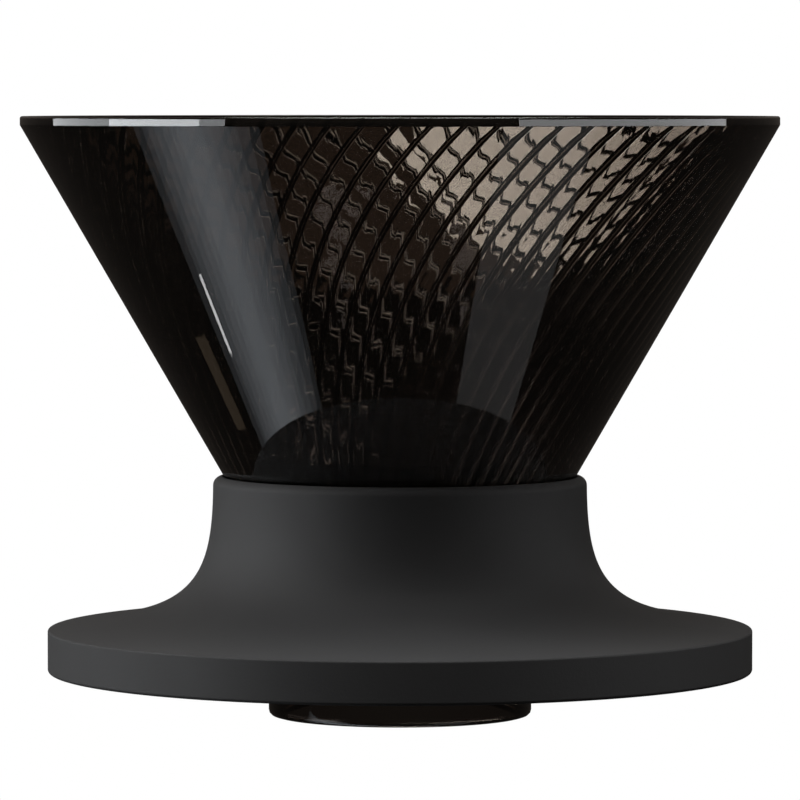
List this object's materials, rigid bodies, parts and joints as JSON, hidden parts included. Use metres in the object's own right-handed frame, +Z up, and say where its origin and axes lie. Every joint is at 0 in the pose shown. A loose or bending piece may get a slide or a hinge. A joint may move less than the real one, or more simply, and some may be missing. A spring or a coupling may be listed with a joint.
{
  "type": "pour over coffee dripper",
  "caption": "Conical pour over dripper: dark see-through cone with fine spiral ribs inside, seated in a matte black flared holder with a wide flat flange.",
  "frame": {"origin": "on the axis, at the foot of the locating skirt", "axes": "+Z up the axis towards the rim"},
  "size_m": [0.116, 0.116, 0.0918],
  "materials": {
    "smoke_resin": "polished see-through smoke resin",
    "soft_black": "matte moulded silicone"
  },
  "bodies": {
    "holder": {"base_holder": "soft_black"},
    "dripper": {"dripper_cone": "smoke_resin"}
  },
  "joints": [
    {"name": "cone_lift", "type": "slide", "parent": "holder", "child": "dripper", "axis": [0, 0, 1], "range_m": [0, 0.045]}
  ]
}
